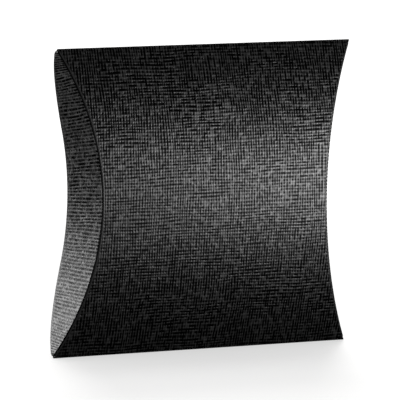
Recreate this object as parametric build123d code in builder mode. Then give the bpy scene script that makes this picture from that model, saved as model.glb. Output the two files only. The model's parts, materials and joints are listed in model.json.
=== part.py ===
from build123d import *

import os
from math import sqrt

# A card pillow box: two bowed panels, two straight folds, a glued seam and four lens-shaped end flaps.
# The box stands on its bottom fold. X runs along the folds, Y through the thickness with the front
# panel towards -Y, and Z up. The origin is the middle of the footprint. Lengths are in millimetres.

# Driving dimensions of the closed box
box_length = 119.5
box_height = 110.0
front_rise = 9.7
back_rise = 16.6
back_shoulder_radius = 37.0
end_depth = 13.4

# The card and its creases
card = 0.4
fold_radius = 0.6
fold_reach = 1.6
corner_blunt = 0.8
crease_gap = 0.15

# The end flaps
flap_gap = 0.2
flap_edge_setback = 0.3
flap_tip_gap = 0.3
inner_flap_setback = 1.0

# The glued seam above the bottom fold
glue = 0.2
glue_skin_gap = 0.06
tab_width = 12.0
tab_end_gap = 3.0

# One overrun for every cut
overrun = 2.0

# The box's own places, worked out from the sizes above
half_length = box_length / 2
half_height = box_height / 2
thickness = front_rise + back_rise
fold_y = (front_rise - back_rise) / 2
front_y = fold_y - front_rise
back_y = fold_y + back_rise
straight_height = half_height - fold_reach

# The front panel is one arc, and each fold bends about its own centre
nose_z = half_height - fold_radius
front_radius = (front_rise**2 + nose_z**2 - fold_radius**2) / (2 * (front_rise - fold_radius))
front_centre_y = front_y + front_radius

# The back panel is flat in the middle and runs into each fold by a shoulder arc
shoulder_y = back_y - back_shoulder_radius
shoulder_z = nose_z - sqrt((back_shoulder_radius - fold_radius) ** 2 - (shoulder_y - fold_y) ** 2)

# Each end is one arc, seen from the front
end_rise = end_depth + corner_blunt
end_radius = (half_height**2 + end_rise**2) / (2 * end_rise)
end_centre_x = half_length - end_depth + end_radius

# How far each layer of card lies inside the closed box's end faces
inner_flap_inset = card + flap_gap
back_end_inset = card + crease_gap
front_end_inset = inner_flap_inset + card + crease_gap
tab_end_inset = front_end_inset + tab_end_gap

section_plane = Plane(origin=(0, 0, half_height), x_dir=(0, 1, 0), z_dir=(1, 0, 0))
elevation_plane = Plane(origin=(0, 0, half_height), x_dir=(1, 0, 0), z_dir=(0, -1, 0))


def on_circle(centre: Vector, through: Vector, radius: float) -> Vector:
    """The point of a circle on the ray from its centre through another point."""
    return centre + (through - centre).normalized() * radius


def section_face(inset: float) -> Sketch:
    """The box's whole section, drawn in Y and Z from mid-height, a distance inside its outer face."""
    nose = Vector(fold_y, nose_z)
    foot = Vector(fold_y, -nose_z)
    front_centre = Vector(front_centre_y, 0)
    upper = Vector(shoulder_y, shoulder_z)
    lower = Vector(shoulder_y, -shoulder_z)
    bend = fold_radius - inset
    bow = front_radius - inset
    shoulder = back_shoulder_radius - inset
    front_top = on_circle(front_centre, nose, bow)
    front_foot = on_circle(front_centre, foot, bow)
    back_top = on_circle(upper, nose, shoulder)
    back_foot = on_circle(lower, foot, shoulder)
    flat_top = upper + Vector(shoulder, 0)
    flat_foot = lower + Vector(shoulder, 0)
    with BuildSketch() as section:
        with BuildLine():
            ThreePointArc(front_foot, front_centre - Vector(bow, 0), front_top)
            ThreePointArc(front_top, nose + Vector(0, bend), back_top)
            ThreePointArc(back_top, on_circle(upper, back_top + flat_top - upper, shoulder), flat_top)
            Line(flat_top, flat_foot)
            ThreePointArc(flat_foot, on_circle(lower, back_foot + flat_foot - lower, shoulder), back_foot)
            ThreePointArc(back_foot, foot - Vector(0, bend), front_foot)
        make_face()
    return section.sketch


def end_circles(inset: float) -> Sketch:
    """The two circles that hollow the ends, seen from the front, a distance inside the end faces."""
    with BuildSketch() as circles:
        with Locations((-end_centre_x, 0), (end_centre_x, 0)):
            Circle(end_radius + inset)
    return circles.sketch


def make_panel(y_low: float, y_high: float, z_low: float, z_high: float, end_inset: float) -> Part:
    """The bent card that lies within a window of the section, with both ends cut concave."""
    with BuildPart() as panel:
        with BuildSketch(section_plane):
            add(section_face(0))
            add(section_face(card), mode=Mode.SUBTRACT)
            with Locations(((y_low + y_high) / 2, (z_low + z_high) / 2)):
                Rectangle(y_high - y_low, z_high - z_low, mode=Mode.INTERSECT)
        extrude(amount=half_length, both=True)
        with BuildSketch(elevation_plane):
            add(end_circles(end_inset))
        extrude(amount=thickness, both=True, mode=Mode.SUBTRACT)
    return panel.part


def make_seam_layer(inset: float, depth: float) -> Part:
    """One layer of the glued seam, lying inside the back panel's lower shoulder."""
    with BuildPart() as layer:
        with BuildSketch(section_plane):
            with Locations((shoulder_y, -shoulder_z)):
                Circle(back_shoulder_radius - inset)
                Circle(back_shoulder_radius - inset - depth, mode=Mode.SUBTRACT)
            with Locations((fold_y, -straight_height)):
                Rectangle(thickness, tab_width, align=(Align.MIN, Align.MIN), mode=Mode.INTERSECT)
        extrude(amount=half_length, both=True)
        with BuildSketch(elevation_plane):
            add(end_circles(tab_end_inset))
        extrude(amount=thickness, both=True, mode=Mode.SUBTRACT)
    return layer.part


def flap_shell(side: int, inset: float) -> Sketch:
    """One end's curved layer of card, seen from the front, between the tips of a flap."""
    with BuildSketch() as shell:
        with Locations((side * end_centre_x, 0)):
            Circle(end_radius + inset + card)
            Circle(end_radius + inset, mode=Mode.SUBTRACT)
        with Locations((side * half_length, 0)):
            Rectangle(box_length, 2 * (straight_height - flap_tip_gap), mode=Mode.INTERSECT)
    return shell.sketch


def make_outer_flap(side: int) -> Part:
    """The flap that is seen, hinged on the back panel and reaching the front one's crease."""
    with BuildPart() as outer_flap:
        with BuildSketch(elevation_plane):
            add(flap_shell(side, 0))
        extrude(amount=thickness, both=True)
        with BuildSketch(section_plane):
            add(section_face(0))
            with Locations((flap_edge_setback, 0)):
                add(section_face(0), mode=Mode.INTERSECT)
        extrude(amount=box_length, both=True, mode=Mode.INTERSECT)
    return outer_flap.part


def make_inner_flap(side: int) -> Part:
    """The flap behind the outer one, hinged on the front panel and half as wide as the end."""
    with BuildPart() as inner_flap:
        with BuildSketch(elevation_plane):
            add(flap_shell(side, inner_flap_inset))
        extrude(amount=thickness, both=True)
        with BuildSketch(section_plane):
            with BuildLine():
                ThreePointArc((fold_y, half_height), (-inner_flap_setback, 0), (fold_y, -half_height))
                Polyline(
                    (fold_y, -half_height),
                    (front_y - overrun, -half_height),
                    (front_y - overrun, half_height),
                    (fold_y, half_height),
                )
            make_face()
            add(section_face(0), mode=Mode.INTERSECT)
        extrude(amount=box_length, both=True, mode=Mode.INTERSECT)
    return inner_flap.part


def save(piece: Part, label: str):
    """Label a finished piece and write it under its own name."""
    piece.label = label
    export_step(piece, f"parts/{label}.step")


os.makedirs("parts", exist_ok=True)

front_edge = front_y - overrun
back_edge = back_y + overrun
top_edge = half_height + overrun

save(make_panel(front_edge, fold_y, -straight_height, straight_height, front_end_inset), "front_panel")
save(make_panel(fold_y, back_edge, -straight_height, straight_height, back_end_inset), "back_panel")
save(make_panel(front_edge, back_edge, straight_height, top_edge, 0), "top_fold")
save(make_panel(front_edge, back_edge, -top_edge, -straight_height, 0), "bottom_fold")
save(make_seam_layer(card + glue, card), "glue_tab")
save(make_seam_layer(card + glue_skin_gap, glue - 2 * glue_skin_gap), "glue_line")

for side, name in ((-1, "left"), (1, "right")):
    save(make_outer_flap(side), f"{name}_outer_flap")
    save(make_inner_flap(side), f"{name}_inner_flap")
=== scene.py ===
"""A black linen-embossed card pillow box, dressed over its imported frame.

The box stands on its bottom fold. X runs along the folds, Y goes from the front panel to the back
panel and Z goes up, with the origin in the middle of the footprint. Lengths are in metres unless
a name ends in _mm. Each piece is modelled about the box's mid-height and lifted into place at the
end.
"""

import json
import logging
import math
from collections.abc import Callable, Iterable
from dataclasses import dataclass, field
from enum import Enum

import bmesh
import bpy
from mathutils import Matrix, Vector
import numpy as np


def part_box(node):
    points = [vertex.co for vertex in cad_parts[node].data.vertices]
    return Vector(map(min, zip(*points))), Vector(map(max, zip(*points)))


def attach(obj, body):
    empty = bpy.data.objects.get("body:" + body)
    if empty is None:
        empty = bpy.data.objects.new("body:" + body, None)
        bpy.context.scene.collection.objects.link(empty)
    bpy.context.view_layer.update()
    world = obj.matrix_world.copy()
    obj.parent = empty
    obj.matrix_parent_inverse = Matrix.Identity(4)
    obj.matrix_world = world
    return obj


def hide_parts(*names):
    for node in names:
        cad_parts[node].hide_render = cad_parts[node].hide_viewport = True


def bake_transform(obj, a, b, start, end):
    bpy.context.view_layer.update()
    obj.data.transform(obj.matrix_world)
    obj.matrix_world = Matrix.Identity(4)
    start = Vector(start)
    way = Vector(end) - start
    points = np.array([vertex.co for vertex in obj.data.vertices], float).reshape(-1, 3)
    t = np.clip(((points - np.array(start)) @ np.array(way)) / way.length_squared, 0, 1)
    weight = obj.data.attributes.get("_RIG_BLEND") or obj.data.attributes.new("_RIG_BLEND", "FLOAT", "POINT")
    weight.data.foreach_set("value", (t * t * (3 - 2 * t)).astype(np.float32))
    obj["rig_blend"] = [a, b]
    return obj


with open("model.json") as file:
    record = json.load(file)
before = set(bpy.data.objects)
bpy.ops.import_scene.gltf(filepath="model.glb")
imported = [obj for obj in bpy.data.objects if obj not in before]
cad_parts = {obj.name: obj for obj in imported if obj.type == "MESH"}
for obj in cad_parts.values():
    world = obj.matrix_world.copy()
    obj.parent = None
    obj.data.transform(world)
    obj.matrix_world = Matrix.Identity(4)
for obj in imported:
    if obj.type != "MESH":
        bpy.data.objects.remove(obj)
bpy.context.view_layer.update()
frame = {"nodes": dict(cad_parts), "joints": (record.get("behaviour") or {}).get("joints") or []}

log = logging.getLogger("pillow_box")
Colour = tuple[float, float, float]
Span = tuple[float, float]
Piece = bpy.types.Object
Material = bpy.types.Material
Socket = bpy.types.NodeSocket

MM = 0.001

# The attributes that hold each point's place on the flat sheet and its share of a hinge's turn
SHEET = "sheet"
TURN_SHARE = "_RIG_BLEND"

# Modelling limits: doubled points, points of one row, the digits of a row's place, and smooth bends
DOUBLED = 0.01 * MM
ROW_REACH = 0.002 * MM
ROW_DIGITS = 7
SMOOTH_BELOW = math.radians(35)

# The sockets of a Mix node that is set to colours
MIX_SHARE, MIX_LOW, MIX_HIGH, MIX_RESULT = 0, 6, 7, 2


class Side(Enum):
    """The two ends of the box, as the sign of X there."""

    LEFT = -1
    RIGHT = 1


class Layer(Enum):
    """The two flaps that close an end, as the frame's names call them."""

    OUTER = "outer"
    INNER = "inner"


def joint_place(name: str) -> Vector:
    """The place at rest of the hinge with a name, from the frame."""
    return Vector(next(joint["pos_m"] for joint in frame["joints"] if joint["name"] == name))


def smooth_step(value: float) -> float:
    """A soft ramp from 0 to 1 for a value that runs from 0 to 1."""
    held = min(max(value, 0.0), 1.0)
    return held * held * (3 - 2 * held)


@dataclass
class BoxShape:
    """The closed box's curves, with heights measured from its mid-height."""

    card: float = 0.4 * MM
    crease_radius: float = 0.45 * MM
    fold_radius: float = 0.6 * MM
    shoulder_radius: float = 37.0 * MM
    corner_blunt: float = 0.8 * MM
    inner_gap: float = 0.45 * MM
    front_share: float = 9.7 / 26.3

    # Worked out from these and from the frame
    half_length: float = field(init=False)
    half_height: float = field(init=False)
    front_y: float = field(init=False)
    back_y: float = field(init=False)
    fold_y: float = field(init=False)
    crease_x: float = field(init=False)
    nose_z: float = field(init=False)
    nose_turn: float = field(init=False)
    front_radius: float = field(init=False)
    front_centre_y: float = field(init=False)
    front_turn: float = field(init=False)
    shoulder_y: float = field(init=False)
    shoulder_z: float = field(init=False)
    shoulder_turn: float = field(init=False)
    end_radius: float = field(init=False)
    end_centre_x: float = field(init=False)

    def __post_init__(self) -> None:
        """Take the overall sizes from the frame and work out the arcs' centres."""
        _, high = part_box("top_fold")
        self.half_length = high.x
        self.half_height = high.z / 2
        outer = joint_place("left_outer_crease")
        inner = joint_place("left_inner_crease")
        self.front_y, self.back_y = inner.y, outer.y
        self.crease_x = abs(outer.x)
        thickness = self.back_y - self.front_y
        self.fold_y = self.front_y + self.front_share * thickness
        self.nose_z = self.half_height - self.fold_radius
        rise = self.fold_y - self.front_y
        reach = rise**2 + self.nose_z**2 - self.fold_radius**2
        self.front_radius = reach / (2 * (rise - self.fold_radius))
        self.front_centre_y = self.front_y + self.front_radius
        self.shoulder_y = self.back_y - self.shoulder_radius
        across = self.fold_y - self.shoulder_y
        drop = (self.shoulder_radius - self.fold_radius) ** 2 - across**2
        self.shoulder_z = self.nose_z - math.sqrt(drop)
        self.front_turn = math.atan2(self.nose_z, self.front_centre_y - self.fold_y)
        self.shoulder_turn = math.atan2(self.nose_z - self.shoulder_z, across)
        self.nose_turn = math.pi - self.front_turn - self.shoulder_turn
        end_rise = self.half_length - self.crease_x + self.corner_blunt
        self.end_radius = (self.half_height**2 + end_rise**2) / (2 * end_rise)
        self.end_centre_x = self.crease_x + self.end_radius

    def front(self, height: float) -> float:
        """The front panel's outer face.

        Args:
            height: the height from mid-height.

        Returns:
            The face's place in Y.
        """
        z = abs(height)
        if z < self.front_radius * math.sin(self.front_turn):
            return self.front_centre_y - math.sqrt(self.front_radius**2 - z**2)
        return self.fold_y - self.nose_reach(z)

    def back(self, height: float) -> float:
        """The back panel's outer face.

        Args:
            height: the height from mid-height.

        Returns:
            The face's place in Y.
        """
        z = abs(height)
        if z < self.shoulder_z:
            return self.back_y
        if z < self.shoulder_z + self.shoulder_radius * math.sin(self.shoulder_turn):
            return self.shoulder_y + math.sqrt(self.shoulder_radius**2 - (z - self.shoulder_z) ** 2)
        return self.fold_y + self.nose_reach(z)

    def nose_reach(self, z: float) -> float:
        """How far a fold's round nose reaches in Y from its middle, at a height."""
        return math.sqrt(max(self.fold_radius**2 - (z - self.nose_z) ** 2, 0.0))

    def end(self, height: float) -> float:
        """The end faces' distance from the middle of the box.

        Args:
            height: the height from mid-height.

        Returns:
            The distance in X.
        """
        height = min(abs(height), self.half_height)
        curve = self.end_centre_x - math.sqrt(self.end_radius**2 - height**2)
        return min(curve, self.half_length)

    def front_run(self, height: float) -> float:
        """Length of card up the front panel from mid-height, signed."""
        return self.front_radius * math.asin(height / self.front_radius)

    def back_run(self, height: float) -> float:
        """Length of card up the back panel.

        Args:
            height: the height from mid-height.

        Returns:
            The length from mid-height, with the height's sign.
        """
        z = abs(height)
        if z > self.shoulder_z:
            share = min((z - self.shoulder_z) / self.shoulder_radius, 1.0)
            z = self.shoulder_z + self.shoulder_radius * math.asin(share)
        return math.copysign(z, height)

    def sheet_height(self, height: float, on_back: bool) -> float:
        """How far up the flat sheet a point of the wrap lies, in one run over the top fold.

        Args:
            height: the point's height from mid-height.
            on_back: whether it lies on the back panel.

        Returns:
            The length of card from the middle of the front panel.
        """
        if not on_back:
            return self.front_run(height)
        over = self.front_run(self.half_height) + self.fold_radius
        return over + self.back_run(self.half_height) - self.back_run(height)


class Bench:
    """Models one mesh at a time with Blender's own operators."""

    @staticmethod
    def start_point(name: str, place: Vector) -> Piece:
        """Begin a piece as a plane that is closed up to one point.

        Args:
            name: the piece's name.
            place: where its first point stands.

        Returns:
            The new object, in edit mode, with that point selected.
        """
        bpy.ops.object.select_all(action="DESELECT")
        bpy.ops.mesh.primitive_plane_add(size=MM)
        piece = bpy.context.object
        piece.name = piece.data.name = name
        bpy.ops.object.mode_set(mode="EDIT")
        bpy.ops.mesh.merge(type="CENTER")
        bpy.ops.transform.translate(value=place)
        return piece

    @staticmethod
    def take(piece: Piece) -> None:
        """Select one piece alone, in object mode.

        Args:
            piece: the piece.
        """
        bpy.ops.object.select_all(action="DESELECT")
        piece.select_set(True)
        bpy.context.view_layer.objects.active = piece

    @staticmethod
    def edit_all() -> None:
        """Go into edit mode with all of the active piece selected."""
        bpy.ops.object.mode_set(mode="EDIT")
        bpy.ops.mesh.select_all(action="SELECT")

    @staticmethod
    def pull(offset: Vector) -> None:
        """Extrude what is selected by an offset."""
        bpy.ops.mesh.extrude_region_move(TRANSFORM_OT_translate={"value": offset})

    @staticmethod
    def turn(centre: Vector, axis: Vector, angle: float, steps: int) -> None:
        """Spin what is selected about an axis by the right hand, leaving the last row selected."""
        bpy.ops.mesh.spin(steps=steps, angle=-angle, center=centre, axis=axis)

    @staticmethod
    def pick(piece: Piece, test: Callable[[Vector], bool]) -> None:
        """Select the points of a piece in edit mode that pass a test.

        Args:
            piece: the piece.
            test: says of a point's place whether to select it.
        """
        mesh = bmesh.from_edit_mesh(piece.data)
        for point in mesh.verts:
            point.select_set(test(point.co))
        mesh.select_flush(True)
        bmesh.update_edit_mesh(piece.data)

    @staticmethod
    def rows(piece: Piece) -> list[Span]:
        """The distinct places in Y and Z that a piece in edit mode has points at."""
        points = bmesh.from_edit_mesh(piece.data).verts
        return sorted({(round(p.co.y, ROW_DIGITS), round(p.co.z, ROW_DIGITS)) for p in points})

    @staticmethod
    def modify(piece: Piece, kind: str, **settings: object) -> None:
        """Add a modifier to a piece in object mode and apply it.

        Args:
            piece: the piece.
            kind: the modifier's type.
            settings: its own settings.
        """
        modifier = piece.modifiers.new(kind.title(), kind)
        for name, value in settings.items():
            setattr(modifier, name, value)
        bpy.context.view_layer.objects.active = piece
        bpy.ops.object.modifier_apply(modifier=modifier.name)

    @staticmethod
    def mirror_down(piece: Piece) -> None:
        """Complete the upper half of a piece in edit mode with its mirror image below.

        Args:
            piece: the piece, which ends in object mode as one open surface.
        """
        bpy.ops.object.mode_set(mode="OBJECT")
        Bench.modify(piece, "MIRROR", use_axis=(False, False, True), merge_threshold=DOUBLED)
        Bench.edit_all()
        bpy.ops.mesh.remove_doubles(threshold=DOUBLED)
        bpy.ops.mesh.normals_make_consistent(inside=False)
        bpy.ops.object.mode_set(mode="OBJECT")

    @staticmethod
    def thicken(piece: Piece, thickness: float, face: Material, reverse: Material) -> None:
        """Give a surface the card's thickness inwards and its two materials.

        Args:
            piece: the surface, in object mode.
            thickness: the card's thickness.
            face: the material of the printed face.
            reverse: the material of the inner side and the cut edges.
        """
        piece.data.materials.append(face)
        piece.data.materials.append(reverse)
        settings = {"offset": -1, "use_even_offset": True, "material_offset": 1}
        Bench.modify(piece, "SOLIDIFY", thickness=thickness, **settings)

    @staticmethod
    def finish(piece: Piece, lift: float) -> None:
        """Lift a piece in its mesh to its place, smooth its bends and leave its edges sharp.

        Args:
            piece: the piece, in object mode.
            lift: how far up it goes.
        """
        Bench.take(piece)
        Bench.edit_all()
        bpy.ops.transform.translate(value=(0, 0, lift))
        bpy.ops.object.mode_set(mode="OBJECT")
        bpy.ops.object.shade_smooth_by_angle(angle=SMOOTH_BELOW)


class Number:
    """A number in a node tree that Python's operators add Math nodes to."""

    def __init__(self, nodes: "Nodes", socket: Socket) -> None:
        """Wrap an output socket of a node tree."""
        self.nodes = nodes
        self.socket = socket

    def math(self, operation: str, *others: "Number | float") -> "Number":
        """The result of a Math node on this number and others."""
        inputs = dict(enumerate([self, *others]))
        return self.nodes.add("ShaderNodeMath", {"operation": operation}, inputs).number("Value")

    def __add__(self, other: "Number | float") -> "Number":
        """This plus another."""
        return self.math("ADD", other)

    __radd__ = __add__

    def __mul__(self, other: "Number | float") -> "Number":
        """This times another."""
        return self.math("MULTIPLY", other)

    __rmul__ = __mul__

    def __sub__(self, other: "Number | float") -> "Number":
        """This less another."""
        return self.math("SUBTRACT", other)

    def __rsub__(self, other: float) -> "Number":
        """Another less this."""
        return self * -1.0 + other

    def __truediv__(self, other: "Number | float") -> "Number":
        """This divided by another."""
        return self.math("DIVIDE", other)

    def __pow__(self, other: "Number | float") -> "Number":
        """This to a power."""
        return self.math("POWER", other)

    def clip(self) -> "Number":
        """This held between 0 and 1."""
        return self.math("MINIMUM", 1.0).math("MAXIMUM", 0.0)

    def ramp(self, low: float, high: float) -> "Number":
        """A soft step that is 0 at the low value and 1 at the high one.

        Args:
            low: where it starts to rise.
            high: where it stops.

        Returns:
            The step.
        """
        settings = {"interpolation_type": "SMOOTHSTEP"}
        inputs = {"Value": self, "From Min": low, "From Max": high}
        return self.nodes.add("ShaderNodeMapRange", settings, inputs).number("Result")


class Placed:
    """A node that has been added, with its outputs by name or by number."""

    def __init__(self, nodes: "Nodes", node: bpy.types.Node) -> None:
        """Wrap a node of a tree."""
        self.nodes = nodes
        self.node = node

    def number(self, output: str | int) -> Number:
        """One of its outputs as a number."""
        return Number(self.nodes, self.node.outputs[output])

    def socket(self, output: str | int) -> Socket:
        """One of its outputs as it is."""
        return self.node.outputs[output]


class Nodes:
    """Writes the node tree of a material or of the world."""

    def __init__(self, tree: bpy.types.NodeTree) -> None:
        """Start from an empty tree."""
        self.tree = tree
        tree.nodes.clear()

    def add(
        self, kind: str, settings: dict[str, object], inputs: dict[str | int, object]
    ) -> Placed:
        """Add a node.

        Args:
            kind: the node's type.
            settings: its own settings, which are set first.
            inputs: values or links for its sockets, by name or by number.

        Returns:
            The node, with its outputs.
        """
        node = self.tree.nodes.new(kind)
        for name, value in settings.items():
            setattr(node, name, value)
        for name, value in inputs.items():
            if isinstance(value, Number):
                self.tree.links.new(value.socket, node.inputs[name])
            elif isinstance(value, Socket):
                self.tree.links.new(value, node.inputs[name])
            else:
                node.inputs[name].default_value = value
        return Placed(self, node)

    def object_place(self) -> Socket:
        """The shaded point's place on its own object."""
        return self.add("ShaderNodeTexCoord", {}, {}).socket("Object")

    def split(self, vector: Socket) -> Placed:
        """A vector's three numbers, as the outputs X, Y and Z."""
        return self.add("ShaderNodeSeparateXYZ", {}, {0: vector})

    def vector(self, x: Number | float, y: Number | float, z: Number | float = 0.0) -> Socket:
        """Three numbers as one vector."""
        return self.add("ShaderNodeCombineXYZ", {}, {0: x, 1: y, 2: z}).socket("Vector")

    def noise(self, place: Socket) -> Number:
        """Smooth noise from 0 to 1, with lumps about one unit across."""
        inputs = {"Vector": place, "Scale": 1.0, "Detail": 1.0, "Roughness": 0.5}
        return self.add("ShaderNodeTexNoise", {"noise_dimensions": "2D"}, inputs).number("Fac")

    def chance(self, place: Socket) -> Number:
        """A number from 0 to 1 of its own for each place."""
        settings = {"noise_dimensions": "3D"}
        return self.add("ShaderNodeTexWhiteNoise", settings, {"Vector": place}).number("Value")

    def blend_colour(self, share: Number, low: Colour, high: Colour) -> Socket:
        """A colour between two, by a share."""
        inputs = {MIX_SHARE: share, MIX_LOW: (*low, 1), MIX_HIGH: (*high, 1)}
        return self.add("ShaderNodeMix", {"data_type": "RGBA"}, inputs).socket(MIX_RESULT)

    def bump(self, height: Number, distance: float) -> Socket:
        """A normal from a height."""
        inputs = {"Height": height, "Strength": 1.0, "Distance": distance}
        return self.add("ShaderNodeBump", {}, inputs).socket("Normal")

    def surface(self, inputs: dict[str | int, object]) -> None:
        """End the tree in a Principled shader."""
        shader = self.add("ShaderNodeBsdfPrincipled", {}, inputs)
        self.add("ShaderNodeOutputMaterial", {}, {"Surface": shader.socket("BSDF")})


def new_material(name: str) -> tuple[Material, Nodes]:
    """A new material and the writer of its tree.

    Args:
        name: the material's name.

    Returns:
        The material and its nodes.
    """
    material = bpy.data.materials.new(name)
    material.use_nodes = True
    return material, Nodes(material.node_tree)


@dataclass(frozen=True)
class LinenCard:
    """The printed face: black card pressed with an uneven linen weave, under a satin varnish, with painted
    shade and sheen that change with height on the box.
    """

    # The threads: their pitch, how far and how slowly they wander, and what sets them apart in
    # the noise, by family and from one to the next
    thread_mm: Span = (1.05, 1.2)
    wander_mm: float = 0.8
    wander_across_mm: Span = (8.0, 26.0)
    family_seeds: Span = (0.0, 50.0)
    thread_stride: float = 3.71
    bead_seed: float = 1.0

    # The grooves between them: each family's weight in an upright patch and in a level one, and
    # how it varies by patch, run and thread
    upright_grooves: Span = (1.15, 0.65)
    level_grooves: Span = (0.5, 1.05)
    patch_mm: Span = (30.0, 13.0)
    patch_edge: Span = (0.36, 0.64)
    run_mm: float = 3.4
    run_edge: Span = (0.3, 0.66)
    groove_edge: Span = (0.1, 0.8)
    link_least: float = 0.45
    link_spread: float = 0.85
    hole_edge: Span = (0.25, 1.0)
    hole_edge_chance: Span = (0.0, 0.5)
    bead_least: float = 0.5

    # Painted shade and sheen by height: away from one height of the box the grooves are drawn wider and
    # deeper and the threads' gloss is raised, for the light that falls off there
    least_shade_height: float = 55 * MM
    shade_reach: float = 45 * MM
    shade_groove_width: float = 0.25
    shade_groove_depth: float = 0.35
    painted_sheen_lift: float = 0.75

    # The relief, and how high the card is and how free of grooves where a crease presses it flat
    depth: float = 0.065 * MM
    bare_relief: float = 0.5
    crown_relief: float = 0.25
    pressed: float = 0.75

    # The dull grooves and the satin threads, whose gloss fades where the card is seen at a slant
    groove: Colour = (0.001, 0.001, 0.001)
    groove_roughness: float = 0.9
    # groove_gloss is a painted sheen in the grooves, full at one height of the box and gone far from it
    groove_gloss: float = 0.05
    crest: Colour = (0.0025, 0.00255, 0.0026)
    crest_roughness: float = 0.4
    crest_gloss: float = 1.35
    ior: float = 1.21
    facing_blend: float = 0.5
    slant_fade: float = 2.2

    def material(self, name: str) -> Material:
        """Write the finish as a material: dull black grooves between satin threads, with painted shade and
        sheen by height.

        Args:
            name: the material's name.

        Returns:
            The material.
        """
        material, nodes = new_material(name)
        sheet = nodes.add("ShaderNodeAttribute", {"attribute_name": SHEET}, {})
        parts = nodes.split(sheet.socket("Vector"))
        along, up, flat = parts.number("X"), parts.number("Y"), parts.number("Z")
        bare_and_painted_shade, height = self.weave(nodes, along, up)
        bare_and_painted_shade = bare_and_painted_shade * (1.0 - flat) + flat * self.pressed
        height = height * (1.0 - flat) + flat * self.pressed
        normal = nodes.bump(height, self.depth)
        dull = nodes.add("ShaderNodeBsdfPrincipled", {}, {
            "Base Color": (*self.groove, 1),
            "Roughness": self.groove_roughness,
            "Specular IOR Level": 0.0,
            "Normal": normal,
        })
        satin = nodes.add("ShaderNodeBsdfPrincipled", {}, {
            "Base Color": (*self.crest, 1),
            "Roughness": self.crest_roughness,
            "IOR": self.ior,
            "Normal": normal,
        })
        slant = nodes.add("ShaderNodeLayerWeight", {}, {"Blend": self.facing_blend})
        facing = 1.0 - slant.number("Facing")
        share = (bare_and_painted_shade * facing**self.slant_fade * self.crest_gloss).clip()
        inputs = {0: share, 1: dull.socket("BSDF"), 2: satin.socket("BSDF")}
        mixed = nodes.add("ShaderNodeMixShader", {}, inputs).socket("Shader")
        nodes.add("ShaderNodeOutputMaterial", {}, {"Surface": mixed})
        return material

    def weave(self, nodes: Nodes, along: Number, up: Number) -> tuple[Number, Number]:
        """The pressed weave.

        Args:
            nodes: the tree to write to.
            along: place along the sheet, in millimetres.
            up: place up the sheet, in millimetres.

        Returns:
            How free of grooves the point is, with painted shade and sheen that change with its height on the
            box, and the relief's height, both from 0 to 1.
        """
        patch = nodes.noise(nodes.vector(along / self.patch_mm[0], up / self.patch_mm[1]))
        level_patch = patch.ramp(*self.patch_edge)
        upright = self.count(nodes, along, up, self.thread_mm[0], self.family_seeds[0])
        level = self.count(nodes, up, along, self.thread_mm[1], self.family_seeds[1])
        # opened is the painted shade by height: 0 at one height of the box and 1 far from it
        opened = self.height_shade(nodes)
        lines, away, index = [], [], []
        for seed, threads, other, run, (in_upright, in_level) in (
            (self.family_seeds[0], upright, level, up, self.upright_grooves),
            (self.family_seeds[1], level, upright, along, self.level_grooves),
        ):
            weight = in_upright + (in_level - in_upright) * level_patch
            own = (threads + 0.5).math("FLOOR")
            off = (threads - own).math("ABSOLUTE") * 2.0
            place = nodes.vector(own * self.thread_stride + seed, run / self.run_mm)
            deep = nodes.noise(place).ramp(*self.run_edge)
            link = nodes.chance(nodes.vector(own, other.math("FLOOR"), seed))
            # The painted shade widens and deepens the grooves away from that height
            groove = 1.0 - (off - self.shade_groove_width * opened).ramp(*self.groove_edge)
            varied = weight * (self.link_least + self.link_spread * link)
            lines.append(groove * ((deep + self.shade_groove_depth * opened) * varied).clip())
            away.append(off)
            index.append(own)
        hole = (1.0 - away[0].ramp(*self.hole_edge)) * (1.0 - away[1].ramp(*self.hole_edge))
        holes = hole * nodes.chance(nodes.vector(*index)).ramp(*self.hole_edge_chance)
        place = nodes.vector(upright.math("FLOOR"), level.math("FLOOR"), self.bead_seed)
        bead = nodes.chance(place)
        shine = self.bead_least + (1.0 - self.bead_least) * bead
        bare_and_painted_shade = (1.0 - lines[0]) * (1.0 - lines[1]) * (1.0 - holes)
        # Painted sheen: the threads' gloss is raised away from that height, against the darker grooves
        bare_and_painted_shade = bare_and_painted_shade * shine * (1.0 + self.painted_sheen_lift * opened)
        crown = away[0] * (2.0 - away[0]) + away[1] * (2.0 - away[1])
        # Painted sheen in the grooves, full at that height and gone far from it
        floor = self.groove_gloss * (1.0 - opened)
        relief = bare_and_painted_shade * self.bare_relief + crown * self.crown_relief
        return floor + (1.0 - floor) * bare_and_painted_shade, relief

    def height_shade(self, nodes: Nodes) -> Number:
        """Painted shade by height: 0 at one height of the box and 1 far from it, where the grooves are
        painted wider and darker and the threads' gloss higher.
        """
        height = nodes.split(nodes.object_place()).number("Z")
        return (height - self.least_shade_height).math("ABSOLUTE").ramp(0.0, self.shade_reach)

    def count(
        self, nodes: Nodes, across: Number, along: Number, pitch: float, seed: float
    ) -> Number:
        """Count the threads across the sheet, with a slow wander in their spacing.

        Args:
            nodes: the tree to write to.
            across: place across the threads, in millimetres.
            along: place along them, in millimetres.
            pitch: from one thread to the next, in millimetres.
            seed: sets this family of threads apart from others.

        Returns:
            The number of threads passed, which is whole in the middle of a groove.
        """
        wide, long = self.wander_across_mm
        place = nodes.vector(across / wide + seed, along / long)
        wander = (nodes.noise(place) - 0.5) * (2 * self.wander_mm)
        return (across + wander) / pitch


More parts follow.
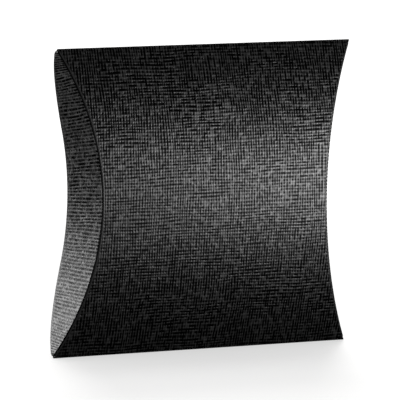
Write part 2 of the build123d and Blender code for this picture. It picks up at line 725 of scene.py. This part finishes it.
@dataclass(frozen=True)
class CardReverse:
    """The unprinted side and the cut edges: the same black card, matt and slightly fibrous."""

    dark: Colour = (0.006, 0.006, 0.006)
    light: Colour = (0.013, 0.013, 0.0125)
    roughness: float = 0.75
    ior: float = 1.3
    fibre_mm: float = 0.35
    fibre_detail: float = 3.0
    fibre_edge: Span = (0.35, 0.7)
    depth: float = 0.02 * MM

    def material(self) -> Material:
        """Write the finish as a material.

        Returns:
            The material.
        """
        material, nodes = new_material("card_reverse")
        inputs = {
            "Vector": nodes.object_place(),
            "Scale": 1 / (self.fibre_mm * MM),
            "Detail": self.fibre_detail,
        }
        fibre = nodes.add("ShaderNodeTexNoise", {}, inputs).number("Fac")
        shade = fibre.ramp(*self.fibre_edge)
        nodes.surface({
            "Base Color": nodes.blend_colour(shade, self.dark, self.light),
            "Roughness": self.roughness,
            "IOR": self.ior,
            "Normal": nodes.bump(fibre, self.depth),
        })
        return material


@dataclass(frozen=True)
class PaperGlue:
    """Dried cream paper glue, brushed on in streaks."""

    thin: Colour = (0.62, 0.58, 0.47)
    thick: Colour = (0.78, 0.75, 0.64)
    streaks_per_m: tuple[int, int, int] = (60, 900, 900)
    streak_detail: float = 2.0
    least_roughness: float = 0.3
    more_roughness: float = 0.25
    depth: float = 0.03 * MM

    def material(self) -> Material:
        """Write the finish as a material.

        Returns:
            The material.
        """
        material, nodes = new_material("paper_glue")
        inputs = {"Vector": nodes.object_place(), "Scale": self.streaks_per_m}
        stretched = nodes.add("ShaderNodeMapping", {}, inputs).socket("Vector")
        inputs = {"Vector": stretched, "Scale": 1.0, "Detail": self.streak_detail}
        streak = nodes.add("ShaderNodeTexNoise", {}, inputs).number("Fac")
        nodes.surface({
            "Base Color": nodes.blend_colour(streak, self.thin, self.thick),
            "Roughness": self.least_roughness + self.more_roughness * streak,
            "Normal": nodes.bump(streak, self.depth),
        })
        return material


def write_sheet(piece: Piece, notes: Iterable[tuple[float, float, float]]) -> None:
    """Store the sheet places, in millimetres, and the flat share of a piece's points.

    Args:
        piece: the finished piece.
        notes: place along, place up and flat share, in the order of its points.
    """
    attribute = piece.data.attributes.new(SHEET, "FLOAT_VECTOR", "POINT")
    attribute.data.foreach_set("vector", [value for note in notes for value in note])


@dataclass
class Wrap:
    """The card that goes once round the box: both panels and the two straight folds."""

    shape: BoxShape
    columns: int = 28
    front_steps: int = 30
    nose_steps: int = 10
    shoulder_steps: int = 18
    flat_steps: int = 8

    # The tips that reach the box's full length, the lap under the flaps' roots, and the flat rim
    tip: float = 0.6 * MM
    lap: float = 0.03 * MM
    pressed_rim: float = 0.35 * MM

    def end_x(self, y: float, z: float) -> float:
        """How far from the middle a row of the wrap ends.

        Args:
            y: the row's place through the thickness.
            z: its height from mid-height.

        Returns:
            Its end's distance from the middle.
        """
        shape = self.shape
        if abs(z) > shape.half_height - self.tip:
            return shape.end(z)
        inset = shape.crease_radius - self.lap
        if y < shape.fold_y:
            inset += shape.inner_gap
        return shape.end(z) - inset

    def build(self, card: Material, reverse: Material) -> Piece:
        """Model the wrap, dress it and put it on the shell.

        Args:
            card: the printed face's material.
            reverse: the material of the inner side.

        Returns:
            The finished piece.
        """
        shape = self.shape
        piece = self.model()
        Bench.thicken(piece, shape.card, card, reverse)
        Bench.finish(piece, shape.half_height)
        self.mark_sheet(piece)
        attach(piece, "shell")
        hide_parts("front_panel", "back_panel", "top_fold", "bottom_fold")
        return piece

    def model(self) -> Piece:
        """Model the outer face: the upper half round the fold, trimmed to the ends, and mirrored.

        Returns:
            The object, in object mode, as one open surface.
        """
        shape = self.shape
        spread = [math.sin(math.pi * (i / self.columns - 0.5)) for i in range(self.columns + 1)]
        places = [shape.half_length * share for share in spread]
        piece = Bench.start_point("wrap_card", Vector((places[0], shape.front_y, 0)))
        for here, there in zip(places, places[1:]):
            Bench.pull(Vector((there - here, 0, 0)))
        bpy.ops.mesh.select_all(action="SELECT")
        over = Vector((-1, 0, 0))
        front = Vector((0, shape.front_centre_y, 0))
        nose = Vector((0, shape.fold_y, shape.nose_z))
        shoulder = Vector((0, shape.shoulder_y, shape.shoulder_z))
        Bench.turn(front, over, shape.front_turn, self.front_steps)
        Bench.turn(nose, over, shape.nose_turn, self.nose_steps)
        Bench.turn(shoulder, over, shape.shoulder_turn, self.shoulder_steps)
        for _ in range(self.flat_steps):
            Bench.pull(Vector((0, 0, -shape.shoulder_z / self.flat_steps)))
        for y, z in Bench.rows(piece):
            self.trim_row(piece, y, z)
        Bench.mirror_down(piece)
        return piece

    def trim_row(self, piece: Piece, y: float, z: float) -> None:
        """Draw one row of the wrap in to the curve of the ends.

        Args:
            piece: the wrap, in edit mode.
            y: the row's place through the thickness.
            z: its height from mid-height.
        """
        Bench.pick(piece, lambda p: abs(p.y - y) < ROW_REACH and abs(p.z - z) < ROW_REACH)
        share = self.end_x(y, z) / self.shape.half_length
        bpy.ops.transform.resize(value=(share, 1, 1), center_override=(0, y, z))

    def mark_sheet(self, piece: Piece) -> None:
        """Note each point's place on the flat sheet and how far its weave is pressed flat.

        Args:
            piece: the finished wrap.
        """
        shape = self.shape
        notes = []
        for vertex in piece.data.vertices:
            x, y, z = vertex.co.x, vertex.co.y, vertex.co.z - shape.half_height
            up = shape.sheet_height(z, y > shape.fold_y)
            flat = 1 - smooth_step((self.end_x(y, z) - abs(x)) / self.pressed_rim)
            notes.append((x / MM, up / MM, flat))
        write_sheet(piece, notes)


@dataclass
class Flap:
    """The lens-shaped flaps of one layer, one at each end, with the creases that they hang on."""

    shape: BoxShape
    layer: Layer

    # How far the outer flap's edge stays off the front panel, more at the tips, and at most as a
    # share of the thickness. Then the inner flap's edge at mid-height, and where all tips end
    edge_setback: float = 0.45 * MM
    tip_setback: float = 0.35 * MM
    tip_power: int = 4
    widest_setback: float = 0.4
    inner_edge_y: float = -1.0 * MM
    tip_height: float = 54.25 * MM

    # The mesh
    rows: int = 44
    bend_steps: int = 6
    columns: int = 9

    # How its threads lean and fan, and the strip of them that the crease presses flat
    lean: float = math.radians(6)
    fan: float = math.radians(8)
    pressed_rim: float = 0.2 * MM
    pressed_fade: float = 0.5 * MM

    @property
    def outer(self) -> bool:
        """Whether this is the flap that is seen, which hangs on the back panel."""
        return self.layer is Layer.OUTER

    @property
    def inset(self) -> float:
        """How far the flap's outer face lies inside the end of the box."""
        return 0.0 if self.outer else self.shape.inner_gap

    @property
    def into(self) -> float:
        """The sign of Y from the crease to the free edge."""
        return -1.0 if self.outer else 1.0

    def crease_y(self, height: float) -> float:
        """The crease's place through the thickness, at a height."""
        return self.shape.back(height) if self.outer else self.shape.front(height)

    def free_y(self, height: float) -> float:
        """The free edge's place through the thickness.

        Args:
            height: the height from mid-height.

        Returns:
            The edge's place in Y.
        """
        shape = self.shape
        if self.outer:
            towards_tip = (height / shape.half_height) ** self.tip_power
            wanted = self.edge_setback + self.tip_setback * towards_tip
            widest = self.widest_setback * (shape.back(height) - shape.front(height))
            return shape.front(height) + min(wanted, widest)
        rise = self.inner_edge_y - shape.fold_y
        radius = (rise**2 + shape.half_height**2) / (2 * rise)
        return self.inner_edge_y - radius + math.sqrt(radius**2 - height**2)

    def face_x(self, height: float) -> float:
        """The outer face's distance from the middle of the box, at a height."""
        return self.shape.end(height) - self.inset

    def build(self, card: Material, reverse: Material) -> list[Piece]:
        """Model the flap once, copy it to the other end and put both on their bodies.

        Args:
            card: the printed face's material.
            reverse: the material of the inner side.

        Returns:
            The two finished pieces.
        """
        kind = self.layer.value
        left = self.model(f"left_{kind}_flap_card")
        Bench.thicken(left, self.shape.card, card, reverse)
        right = self.copy_over(left, f"right_{kind}_flap_card")
        for piece, side in ((left, Side.LEFT), (right, Side.RIGHT)):
            Bench.finish(piece, self.shape.half_height)
            self.mark_sheet(piece)
            body = f"{side.name.lower()}_{kind}"
            self.hang(piece, body)
            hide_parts(f"{body}_flap")
        return [left, right]

    def model(self, name: str) -> Piece:
        """Model the left flap's outer face, from its crease at mid-height to its tips.

        Args:
            name: the piece's name.

        Returns:
            The object, in object mode, as one open surface.
        """
        radius = self.shape.crease_radius
        face, crease = -self.face_x(0), self.crease_y(0)
        piece = Bench.start_point(name, Vector((face + radius, crease, 0)))
        centre = Vector((face + radius, crease + self.into * radius, 0))
        Bench.turn(centre, Vector((0, 0, -self.into)), math.pi / 2, self.bend_steps)
        width = abs(self.free_y(0) - crease) - radius
        for _ in range(self.columns):
            Bench.pull(Vector((0, self.into * width / self.columns, 0)))
        bpy.ops.mesh.select_all(action="SELECT")
        climb = [math.sin(math.pi / 2 * i / self.rows) for i in range(self.rows + 1)]
        heights = [self.tip_height * share for share in climb]
        for here, there in zip(heights, heights[1:]):
            self.raise_row(here, there)
        Bench.mirror_down(piece)
        self.face_out(piece)
        return piece

    def raise_row(self, here: float, there: float) -> None:
        """Pull the top row up to its next height, narrowed to the lens shape.

        Args:
            here: the row's height from mid-height.
            there: the next height.
        """
        step_x = self.face_x(here) - self.face_x(there)
        step_y = self.crease_y(there) - self.crease_y(here)
        Bench.pull(Vector((step_x, step_y, there - here)))
        before = abs(self.free_y(here) - self.crease_y(here))
        after = abs(self.free_y(there) - self.crease_y(there))
        centre = (-self.face_x(there), self.crease_y(there), there)
        bpy.ops.transform.resize(value=(1, after / before, 1), center_override=centre)

    def face_out(self, piece: Piece) -> None:
        """Turn the left flap's faces outwards, away from the middle of the box.

        Args:
            piece: the left flap, in object mode.
        """
        middle = max(piece.data.polygons, key=lambda face: face.area)
        if middle.normal.x * Side.LEFT.value < 0:
            Bench.edit_all()
            bpy.ops.mesh.flip_normals()
            bpy.ops.object.mode_set(mode="OBJECT")

    def copy_over(self, left: Piece, name: str) -> Piece:
        """Copy the left flap to the right end, as its mirror image with a mesh of its own.

        Args:
            left: the left flap.
            name: the copy's name.

        Returns:
            The right flap.
        """
        Bench.take(left)
        bpy.ops.object.duplicate()
        right = bpy.context.object
        right.name = right.data.name = name
        Bench.edit_all()
        bpy.ops.transform.resize(value=(-1, 1, 1), center_override=(0, 0, 0))
        bpy.ops.mesh.flip_normals()
        bpy.ops.object.mode_set(mode="OBJECT")
        return right

    def mark_sheet(self, piece: Piece) -> None:
        """Note each point's place on the flat sheet, whose threads lean and fan across the flap.

        Args:
            piece: the finished flap.
        """
        shape = self.shape
        notes = []
        for vertex in piece.data.vertices:
            x, y, z = vertex.co.x, vertex.co.y, vertex.co.z - shape.half_height
            away = abs(y - self.crease_y(z))
            along = math.copysign(self.face_x(z) + away, x)
            slope = math.tan(self.lean + self.fan * z / shape.half_height)
            up = shape.sheet_height(z, self.outer) - self.into * slope * away
            flat = 1 - smooth_step((away - self.pressed_rim) / self.pressed_fade)
            notes.append((along / MM, up / MM, flat))
        write_sheet(piece, notes)

    def hang(self, piece: Piece, body: str) -> None:
        """Bend the flap between the shell and its own body, so that it stays on its curved crease.

        Args:
            piece: the finished flap.
            body: the body that it turns with.
        """
        shape = self.shape
        start = (piece.data.vertices[0].co.x, self.crease_y(0), shape.half_height)
        end = (start[0], start[1] + self.into * shape.crease_radius, shape.half_height)
        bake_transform(piece, "shell", body, start=start, end=end)
        shares = [self.turn_share(vertex.co) for vertex in piece.data.vertices]
        piece.data.attributes[TURN_SHARE].data.foreach_set("value", shares)

    def turn_share(self, point: Vector) -> float:
        """How much of the hinge's turn a point takes, so that the open flap continues its panel.

        Args:
            point: the point, at rest.

        Returns:
            The share, from 0 on the crease.
        """
        radius = self.shape.crease_radius
        height = point.z - self.shape.half_height
        outwards = self.face_x(height) - self.face_x(0)
        inwards = abs(self.crease_y(height) - self.crease_y(0))
        away = abs(point.y - self.crease_y(height))
        begun = smooth_step(away / radius)
        reach = max(away, radius)
        closed = math.atan2(outwards, inwards + reach)
        opened = math.atan2(outwards + reach, inwards)
        return begun * (opened - closed) / (math.pi / 2)


@dataclass(frozen=True)
class Seam:
    """The glued seam inside the box, whose two nodes keep the frame's own shapes."""

    tab: str = "glue_tab"
    film: str = "glue_line"

    def build(self, reverse: Material, glue: Material) -> list[Piece]:
        """Dress the two nodes.

        Args:
            reverse: the material of the tab.
            glue: the material of the film of glue.

        Returns:
            The two pieces.
        """
        pieces = [frame["nodes"][self.tab], frame["nodes"][self.film]]
        for piece, material in zip(pieces, (reverse, glue)):
            piece.data.materials.clear()
            piece.data.materials.append(material)
        return pieces


@dataclass(frozen=True)
class View:
    """The camera, fitted to the photograph's outlines."""

    yaw: float = math.radians(29.65)
    pitch: float = math.radians(6.66)
    roll: float = math.radians(0.9)
    distance: float = 1.9548
    focal_px: float = 5454.7
    frame_px: float = 400.0
    offset_px: Span = (2.7, 3.15)
    px_per_m: float = 2790.4
    sensor_mm: float = 36.0

    def build(self, centre: Vector) -> None:
        """Make the camera.

        Args:
            centre: the point of the box that it looks at.
        """
        level = math.cos(self.pitch)
        sideways, forwards = math.sin(self.yaw), math.cos(self.yaw)
        back = Vector((-sideways * level, -forwards * level, math.sin(self.pitch)))
        right = Vector((forwards, -sideways, 0))
        up = back.cross(right)
        tilted = math.cos(self.roll) * right + math.sin(self.roll) * up
        upright = math.cos(self.roll) * up - math.sin(self.roll) * right
        aside = (self.offset_px[0] * tilted + self.offset_px[1] * upright) / self.px_per_m
        data = bpy.data.cameras.new("camera")
        data.sensor_width = self.sensor_mm
        data.lens = self.focal_px / self.frame_px * self.sensor_mm
        camera = bpy.data.objects.new("camera", data)
        bpy.context.scene.collection.objects.link(camera)
        turned = Matrix((tilted, upright, back)).transposed().to_4x4()
        camera.matrix_world = Matrix.Translation(centre - aside + back * self.distance) @ turned
        bpy.context.scene.camera = camera


def aim_light(data: bpy.types.Light, away: Vector) -> bpy.types.Object:
    """Put a light in the scene and turn it to what it lights.

    Args:
        data: the light, whose name the lamp takes.
        away: the direction from what it lights to the lamp.

    Returns:
        The lamp.
    """
    lamp = bpy.data.objects.new(data.name, data)
    bpy.context.scene.collection.objects.link(lamp)
    lamp.rotation_mode = "QUATERNION"
    lamp.rotation_quaternion = away.to_track_quat("Z", "Y")
    return lamp


@dataclass(frozen=True)
class Lamp:
    """A soft sun, placed round the box by azimuth and elevation in degrees."""

    name: str
    azimuth: float
    elevation: float
    strength: float
    spread: float

    def direction(self) -> Vector:
        """From the box to the lamp. Azimuth 0 is in front of it, and 90 to its right."""
        a, e = math.radians(self.azimuth), math.radians(self.elevation)
        return Vector((math.sin(a) * math.cos(e), -math.cos(a) * math.cos(e), math.sin(e)))

    def build(self) -> None:
        """Make the lamp."""
        data = bpy.data.lights.new(self.name, "SUN")
        data.energy = self.strength
        data.angle = math.radians(self.spread)
        aim_light(data, self.direction())


@dataclass(frozen=True)
class SoftBox:
    """A panel of light beside the box that only shows as a sheen on it."""

    name: str
    place: tuple[float, float, float]
    target: tuple[float, float, float]
    width: float
    height: float
    power: float

    def build(self) -> None:
        """Make the panel as an area lamp that lights glossy surfaces alone and isn't seen."""
        data = bpy.data.lights.new(self.name, "AREA")
        data.shape = "RECTANGLE"
        data.size, data.size_y = self.width, self.height
        data.energy = self.power
        lamp = aim_light(data, Vector(self.place) - Vector(self.target))
        lamp.location = self.place
        lamp.visible_camera = False
        lamp.visible_diffuse = False


@dataclass
class Studio:
    """The pale floor, the white surround and the lamps."""

    floor_radius: float = 6.0
    floor_sides: int = 64
    floor_colour: Colour = (0.35, 0.34825, 0.34475)
    near_glow: float = 0.56
    far_glow: float = 0.73
    near_radius: float = 0.15
    far_radius: float = 0.7
    fill: float = 0.7

    # Name, azimuth, elevation, strength and spread
    lamps: tuple[Lamp, ...] = (
        Lamp("back_low", 155, 30, 1.8, 16),
        Lamp("back_mid", 155, 45, 1.3, 16),
        Lamp("back_high", 155, 66, 0.8, 20),
    )

    # Name, place, target, width, height and power
    boxes: tuple[SoftBox, ...] = (
        SoftBox("sheen", (0.205, -0.218, 0.046), (0.03, 0.0, 0.055), 0.12, 0.085, 4.6),
        SoftBox("window", (-0.263, 0.426, 0.162), (-0.055, 0.0, 0.04), 0.20, 0.21, 5.0),
        SoftBox("rear", (0.3, 0.36, 0.12), (0.0, 0.0, 0.055), 0.26, 0.16, 9.0),
    )

    def seen(self, nodes: Nodes) -> Number:
        """Tell the rays that see the white surround from the ones that only light the scene.

        Args:
            nodes: the tree to write to.

        Returns:
            1 for the camera's rays, glossy ones and ones through glass, and 0 for the rest.
        """
        path = nodes.add("ShaderNodeLightPath", {}, {})
        straight = path.number("Is Camera Ray") + path.number("Is Glossy Ray")
        return (straight + path.number("Is Transmission Ray")).clip()

    def build(self) -> None:
        """Lay the floor, light the world and set the lamps."""
        self.lay_floor()
        self.light_world()
        for lamp in (*self.lamps, *self.boxes):
            lamp.build()

    def lay_floor(self) -> None:
        """Lay a matt floor that glows more the farther it is from the box."""
        bpy.ops.object.select_all(action="DESELECT")
        bpy.ops.mesh.primitive_circle_add(
            vertices=self.floor_sides, radius=self.floor_radius, fill_type="NGON"
        )
        floor = bpy.context.object
        floor.name = "floor"
        material, nodes = new_material("pale_floor")
        place = {0: nodes.object_place()}
        away = nodes.add("ShaderNodeVectorMath", {"operation": "LENGTH"}, place).number("Value")
        lift = away.ramp(self.near_radius, self.far_radius) * (self.far_glow - self.near_glow)
        glow = self.seen(nodes) * (lift + self.near_glow)
        nodes.surface({
            "Base Color": (*self.floor_colour, 1),
            "Roughness": 1.0,
            "Specular IOR Level": 0.0,
            "Emission Color": nodes.vector(glow, glow, glow),
            "Emission Strength": 1.0,
        })
        floor.data.materials.append(material)

    def light_world(self) -> None:
        """Light the world with a plain dim fill that the camera and glossy rays see as white."""
        world = bpy.data.worlds.new("surround")
        world.use_nodes = True
        bpy.context.scene.world = world
        nodes = Nodes(world.node_tree)
        level = self.fill + (1.0 - self.fill) * self.seen(nodes)
        inputs = {"Color": (1, 1, 1, 1), "Strength": level}
        ground = nodes.add("ShaderNodeBackground", {}, inputs)
        nodes.add("ShaderNodeOutputWorld", {}, {"Surface": ground.socket("Background")})


def main() -> None:
    """Build the box piece by piece, report each piece, and set the studio round it."""
    logging.basicConfig(level=logging.INFO, format="%(message)s")
    bpy.context.scene.view_settings.view_transform = "Standard"
    shape = BoxShape()
    panel_card = LinenCard().material("linen_card")
    # The outer flaps' rows stand out more than their columns, and their gloss fades less at a slant; their
    # painted sheen in the grooves is full near the bottom of the box and their painted shade grows above it
    flap_card = LinenCard(
        upright_grooves=(0.5, 0.3),
        level_grooves=(0.65, 1.05),
        least_shade_height=15 * MM,
        shade_reach=60 * MM,
        painted_sheen_lift=0.9,
        depth=0.03 * MM,
        groove_gloss=0.2,
        slant_fade=1.0,
    ).material("linen_flap")
    reverse, glue = CardReverse().material(), PaperGlue().material()
    pieces = [Wrap(shape).build(panel_card, reverse)]
    for layer, card in ((Layer.OUTER, flap_card), (Layer.INNER, panel_card)):
        pieces += Flap(shape, layer).build(card, reverse)
    pieces += Seam().build(reverse, glue)
    for piece in pieces:
        log.info("%s: %d faces", piece.name, len(piece.data.polygons))
    View().build(Vector((0, shape.fold_y, shape.half_height)))
    Studio().build()


if __name__ == "__main__":
    main()
